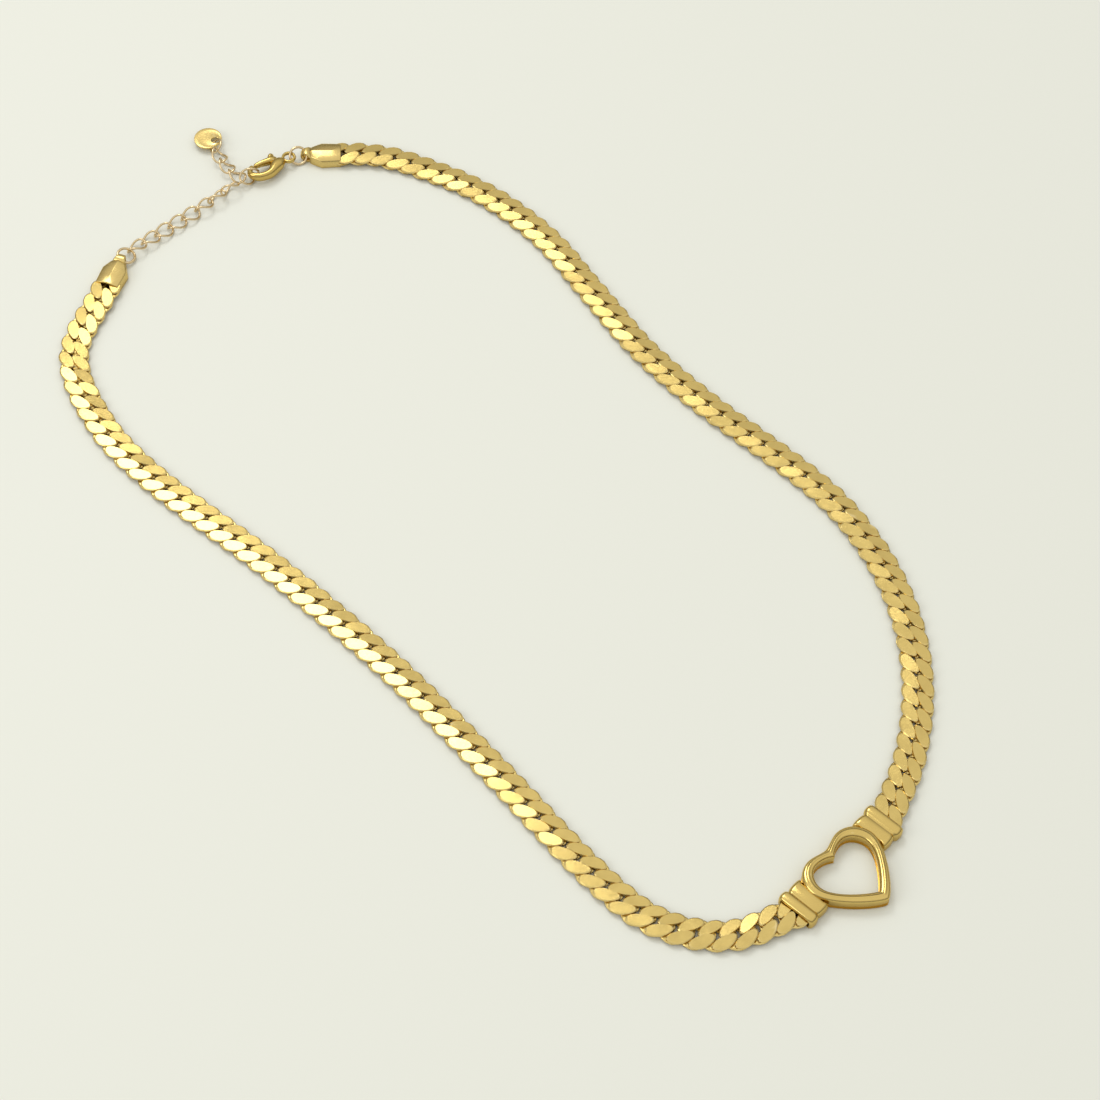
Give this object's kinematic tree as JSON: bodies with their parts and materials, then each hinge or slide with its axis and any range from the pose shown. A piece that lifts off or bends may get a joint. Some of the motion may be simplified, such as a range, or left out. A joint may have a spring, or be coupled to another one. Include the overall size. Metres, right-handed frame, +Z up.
{
  "type": "pendant necklace",
  "caption": "Flat curb-chain pendant necklace with an open heart centrepiece, end caps, lobster clasp and an extender chain with a round tag.",
  "frame": {"origin": "middle of the footprint, on the table the necklace lies on", "axes": "+Z up from the table, +Y from the heart centrepiece towards the clasp, +X to the right of someone who looks down with the heart nearest to them"},
  "size_m": [0.102, 0.2056, 0.0033],
  "materials": {
    "polished_gold": "polished gold plate",
    "rolled_gold": "satin gold plate with a fine rolled grain",
    "pale_gold_wire": "bright pale gold wire",
    "bare_steel": "bare steel"
  },
  "bodies": {
    "centrepiece": {"heart_centrepiece": "polished_gold", "left_collar": "polished_gold", "left_collar_link": "rolled_gold", "right_collar": "polished_gold", "right_collar_link": "rolled_gold"},
    "clasp": {"clasp_hook_body": "polished_gold", "clasp_pin": "bare_steel", "clasp_spring": "bare_steel"},
    "extender_link_01": {"extender_link_01": "pale_gold_wire"},
    "extender_link_02": {"extender_link_02": "pale_gold_wire"},
    "extender_link_03": {"extender_link_03": "pale_gold_wire"},
    "extender_link_04": {"extender_link_04": "pale_gold_wire"},
    "extender_link_05": {"extender_link_05": "pale_gold_wire"},
    "extender_link_06": {"extender_link_06": "pale_gold_wire"},
    "extender_link_07": {"extender_link_07": "pale_gold_wire"},
    "extender_link_08": {"extender_link_08": "pale_gold_wire"},
    "extender_link_09_hooked": {"extender_link_09_hooked": "pale_gold_wire"},
    "extender_link_10": {"extender_link_10": "pale_gold_wire"},
    "extender_link_11": {"extender_link_11": "pale_gold_wire"},
    "extender_link_12": {"extender_link_12": "pale_gold_wire"},
    "left_cap": {"left_cap_link": "rolled_gold", "left_end_cap": "polished_gold"},
    "left_jump_ring": {"left_jump_ring": "pale_gold_wire"},
    "left_run_01": {"left_run_01": "rolled_gold"},
    "left_run_02": {"left_run_02": "rolled_gold"},
    "left_run_03": {"left_run_03": "rolled_gold"},
    "left_run_04": {"left_run_04": "rolled_gold"},
    "left_run_05": {"left_run_05": "rolled_gold"},
    "left_run_06": {"left_run_06": "rolled_gold"},
    "left_run_07": {"left_run_07": "rolled_gold"},
    "left_run_08": {"left_run_08": "rolled_gold"},
    "left_run_09": {"left_run_09": "rolled_gold"},
    "left_run_10": {"left_run_10": "rolled_gold"},
    "left_run_11": {"left_run_11": "rolled_gold"},
    "left_run_12": {"left_run_12": "rolled_gold"},
    "lever": {"clasp_lever": "polished_gold"},
    "right_cap": {"right_cap_link": "rolled_gold", "right_end_cap": "polished_gold"},
    "right_jump_ring": {"right_jump_ring": "pale_gold_wire"},
    "right_run_01": {"right_run_01": "rolled_gold"},
    "right_run_02": {"right_run_02": "rolled_gold"},
    "right_run_03": {"right_run_03": "rolled_gold"},
    "right_run_04": {"right_run_04": "rolled_gold"},
    "right_run_05": {"right_run_05": "rolled_gold"},
    "right_run_06": {"right_run_06": "rolled_gold"},
    "right_run_07": {"right_run_07": "rolled_gold"},
    "right_run_08": {"right_run_08": "rolled_gold"},
    "right_run_09": {"right_run_09": "rolled_gold"},
    "right_run_10": {"right_run_10": "rolled_gold"},
    "right_run_11": {"right_run_11": "rolled_gold"},
    "right_run_12": {"right_run_12": "rolled_gold"},
    "tag": {"round_tag": "polished_gold"},
    "tag_ring": {"tag_ring": "pale_gold_wire"}
  },
  "joints": [
    {"name": "fold_01_left", "type": "hinge", "parent": "centrepiece", "child": "left_run_01", "pos_m": [-0.0331, -0.09242, 0.00109], "axis": [1, -0.0044, 0], "range_deg": [-8, 8]},
    {"name": "fold_01_right", "type": "hinge", "parent": "centrepiece", "child": "right_run_01", "pos_m": [-0.00708, -0.09253, 0.00109], "axis": [1, -0.0044, 0], "range_deg": [-8, 8]},
    {"name": "fold_02_left", "type": "hinge", "parent": "left_run_01", "child": "left_run_02", "pos_m": [-0.04418, -0.0852, 0.00069], "axis": [-0.9988, 0.049, 0], "range_deg": [-10, 10]},
    {"name": "fold_02_right", "type": "hinge", "parent": "right_run_01", "child": "right_run_02", "pos_m": [0.00531, -0.08763, 0.00069], "axis": [-0.9988, 0.049, 0], "range_deg": [-10, 10]},
    {"name": "fold_03_left", "type": "hinge", "parent": "left_run_02", "child": "left_run_03", "pos_m": [-0.04852, -0.06932, 0.00067], "axis": [0.9918, -0.1281, 0], "range_deg": [-15, 15]},
    {"name": "fold_03_right", "type": "hinge", "parent": "right_run_02", "child": "right_run_03", "pos_m": [0.01888, -0.07802, 0.00067], "axis": [0.9918, -0.1281, 0], "range_deg": [-15, 15]},
    {"name": "fold_04_left", "type": "hinge", "parent": "left_run_03", "child": "left_run_04", "pos_m": [-0.04677, -0.05255, 0.00067], "axis": [-0.9867, 0.1622, 0], "range_deg": [-20, 20]},
    {"name": "fold_04_right", "type": "hinge", "parent": "right_run_03", "child": "right_run_04", "pos_m": [0.02927, -0.06506, 0.00067], "axis": [-0.9867, 0.1622, 0], "range_deg": [-20, 20]},
    {"name": "fold_05_left", "type": "hinge", "parent": "left_run_04", "child": "left_run_05", "pos_m": [-0.04448, -0.03585, 0.00067], "axis": [0.9854, -0.1705, 0], "range_deg": [-20, 20]},
    {"name": "fold_05_right", "type": "hinge", "parent": "right_run_04", "child": "right_run_05", "pos_m": [0.03567, -0.04971, 0.00067], "axis": [0.9854, -0.1705, 0], "range_deg": [-20, 20]},
    {"name": "fold_06_left", "type": "hinge", "parent": "left_run_05", "child": "left_run_06", "pos_m": [-0.04253, -0.0191, 0.00067], "axis": [-0.9849, 0.1731, 0], "range_deg": [-20, 20]},
    {"name": "fold_06_right", "type": "hinge", "parent": "right_run_05", "child": "right_run_06", "pos_m": [0.0377, -0.0332, 0.00067], "axis": [-0.9849, 0.1731, 0], "range_deg": [-20, 20]},
    {"name": "fold_07_left", "type": "hinge", "parent": "left_run_06", "child": "left_run_07", "pos_m": [-0.04141, -0.00228, 0.00067], "axis": [0.9843, -0.1767, 0], "range_deg": [-20, 20]},
    {"name": "fold_07_right", "type": "hinge", "parent": "right_run_06", "child": "right_run_07", "pos_m": [0.03793, -0.01652, 0.00067], "axis": [0.9843, -0.1767, 0], "range_deg": [-20, 20]},
    {"name": "fold_08_left", "type": "hinge", "parent": "left_run_07", "child": "left_run_08", "pos_m": [-0.04112, 0.01121, 0.00067], "axis": [-0.9841, 0.1774, 0], "range_deg": [-20, 20]},
    {"name": "fold_08_right", "type": "hinge", "parent": "right_run_07", "child": "right_run_08", "pos_m": [0.03896, -0.00322, 0.00067], "axis": [-0.9841, 0.1774, 0], "range_deg": [-20, 20]},
    {"name": "fold_09_left", "type": "hinge", "parent": "left_run_08", "child": "left_run_09", "pos_m": [-0.04145, 0.02806, 0.00067], "axis": [0.9844, -0.1759, 0], "range_deg": [-20, 20]},
    {"name": "fold_09_right", "type": "hinge", "parent": "right_run_08", "child": "right_run_09", "pos_m": [0.04242, 0.01307, 0.00067], "axis": [0.9844, -0.1759, 0], "range_deg": [-20, 20]},
    {"name": "fold_10_left", "type": "hinge", "parent": "left_run_09", "child": "left_run_10", "pos_m": [-0.04202, 0.04491, 0.00067], "axis": [-0.9846, 0.1746, 0], "range_deg": [-20, 20]},
    {"name": "fold_10_right", "type": "hinge", "parent": "right_run_09", "child": "right_run_10", "pos_m": [0.0468, 0.02917, 0.00067], "axis": [-0.9846, 0.1746, 0], "range_deg": [-20, 20]},
    {"name": "fold_11_left", "type": "hinge", "parent": "left_run_10", "child": "left_run_11", "pos_m": [-0.04032, 0.06164, 0.00067], "axis": [0.9843, -0.1766, 0], "range_deg": [-20, 20]},
    {"name": "fold_11_right", "type": "hinge", "parent": "right_run_10", "child": "right_run_11", "pos_m": [0.04855, 0.0457, 0.00067], "axis": [0.9843, -0.1766, 0], "range_deg": [-20, 20]},
    {"name": "fold_12_left", "type": "hinge", "parent": "left_run_11", "child": "left_run_12", "pos_m": [-0.03372, 0.07701, 0.00067], "axis": [-0.9828, 0.1846, 0], "range_deg": [-12, 12]},
    {"name": "fold_12_right", "type": "hinge", "parent": "right_run_11", "child": "right_run_12", "pos_m": [0.04578, 0.06208, 0.00067], "axis": [-0.9828, 0.1846, 0], "range_deg": [-12, 12]},
    {"name": "cap_fold_left", "type": "hinge", "parent": "left_run_12", "child": "left_cap", "pos_m": [-0.01934, 0.08532, 0.00109], "axis": [0.9887, -0.1498, 0], "range_deg": [-12, 12]},
    {"name": "cap_fold_right", "type": "hinge", "parent": "right_run_12", "child": "right_cap", "pos_m": [0.03807, 0.07662, 0.00109], "axis": [0.9887, -0.1498, 0], "range_deg": [-12, 12]},
    {"name": "jump_ring_turn_left", "type": "hinge", "parent": "left_cap", "child": "left_jump_ring", "pos_m": [-0.01128, 0.08894, 0.00124], "axis": [0.9904, -0.1385, 0], "range_deg": [-15, 15]},
    {"name": "jump_ring_turn_right", "type": "hinge", "parent": "right_cap", "child": "right_jump_ring", "pos_m": [0.03188, 0.08291, 0.00124], "axis": [0.9904, -0.1385, 0], "range_deg": [-15, 15]},
    {"name": "extender_01_bend", "type": "hinge", "parent": "left_jump_ring", "child": "extender_link_01", "pos_m": [-0.00806, 0.08961, 0.00091], "axis": [0.0997, 0.995, 0], "range_deg": [-25, 25]},
    {"name": "extender_02_swing", "type": "hinge", "parent": "extender_link_01", "child": "extender_link_02", "pos_m": [-0.00526, 0.08932, 0.00107], "axis": [0, 0, 1], "range_deg": [-22, 0]},
    {"name": "extender_03_bend", "type": "hinge", "parent": "extender_link_02", "child": "extender_link_03", "pos_m": [-0.00208, 0.08901, 0.00088], "axis": [-0.0997, -0.995, 0], "range_deg": [-25, 25]},
    {"name": "extender_04_swing", "type": "hinge", "parent": "extender_link_03", "child": "extender_link_04", "pos_m": [0.00109, 0.08869, 0.00079], "axis": [0, 0, -1], "range_deg": [0, 22]},
    {"name": "extender_05_bend", "type": "hinge", "parent": "extender_link_04", "child": "extender_link_05", "pos_m": [0.00427, 0.08837, 0.00079], "axis": [0.0997, 0.995, 0], "range_deg": [-25, 25]},
    {"name": "extender_06_swing", "type": "hinge", "parent": "extender_link_05", "child": "extender_link_06", "pos_m": [0.00744, 0.08805, 0.00099], "axis": [0, 0, 1], "range_deg": [-22, 0]},
    {"name": "extender_07_bend", "type": "hinge", "parent": "extender_link_06", "child": "extender_link_07", "pos_m": [0.01062, 0.08773, 0.00131], "axis": [-0.0997, -0.995, 0], "range_deg": [-25, 25]},
    {"name": "extender_08_swing", "type": "hinge", "parent": "extender_link_07", "child": "extender_link_08", "pos_m": [0.01379, 0.08742, 0.00151], "axis": [0, 0, -1], "range_deg": [-22, 22]},
    {"name": "clasp_bend", "type": "hinge", "parent": "right_jump_ring", "child": "clasp", "pos_m": [0.02908, 0.0846, 0.0016], "axis": [0.2119, 0.9773, 0], "range_deg": [-8, 20]},
    {"name": "clasp_lever_press", "type": "hinge", "parent": "clasp", "child": "lever", "pos_m": [0.026, 0.08628, 0.0016], "axis": [0, 0, 1], "range_deg": [0, 16], "stiffness_Nm_per_rad": 0.002},
    {"name": "hooked_link_bend", "type": "hinge", "parent": "clasp", "child": "extender_link_09_hooked", "pos_m": [0.02104, 0.08635, 0.0016], "axis": [-0.2119, -0.9773, 0], "range_deg": [-20, 20]},
    {"name": "tail_10_swing", "type": "hinge", "parent": "extender_link_09_hooked", "child": "extender_link_10", "pos_m": [0.01888, 0.08774, 0.00111], "axis": [0, 0, 1], "range_deg": [-15, 15]},
    {"name": "tail_11_bend", "type": "hinge", "parent": "extender_link_10", "child": "extender_link_11", "pos_m": [0.01889, 0.09099, 0.00126], "axis": [-0.9734, 0.2289, 0], "range_deg": [-20, 20]},
    {"name": "tail_12_swing", "type": "hinge", "parent": "extender_link_11", "child": "extender_link_12", "pos_m": [0.01964, 0.09415, 0.00126], "axis": [0, 0, 1], "range_deg": [-15, 15]},
    {"name": "tag_ring_bend", "type": "hinge", "parent": "extender_link_12", "child": "tag_ring", "pos_m": [0.02107, 0.09707, 0.0012], "axis": [-0.7746, 0.6325, 0], "range_deg": [-20, 20]},
    {"name": "tag_bend", "type": "hinge", "parent": "tag_ring", "child": "tag", "pos_m": [0.02237, 0.09866, 0.0012], "axis": [-0.935, -0.3546, 0], "range_deg": [-20, 12]}
  ],
  "couplings": [
    {"joint": "fold_01_right", "follows": "fold_01_left", "ratio": 1},
    {"joint": "fold_02_right", "follows": "fold_02_left", "ratio": 1},
    {"joint": "fold_03_right", "follows": "fold_03_left", "ratio": 1},
    {"joint": "fold_04_right", "follows": "fold_04_left", "ratio": 1},
    {"joint": "fold_05_right", "follows": "fold_05_left", "ratio": 1},
    {"joint": "fold_06_right", "follows": "fold_06_left", "ratio": 1},
    {"joint": "fold_07_right", "follows": "fold_07_left", "ratio": 1},
    {"joint": "fold_08_right", "follows": "fold_08_left", "ratio": 1},
    {"joint": "fold_09_right", "follows": "fold_09_left", "ratio": 1},
    {"joint": "fold_10_right", "follows": "fold_10_left", "ratio": 1},
    {"joint": "fold_11_right", "follows": "fold_11_left", "ratio": 1},
    {"joint": "fold_12_right", "follows": "fold_12_left", "ratio": 1},
    {"joint": "cap_fold_right", "follows": "cap_fold_left", "ratio": 1},
    {"joint": "jump_ring_turn_right", "follows": "jump_ring_turn_left", "ratio": 1}
  ]
}
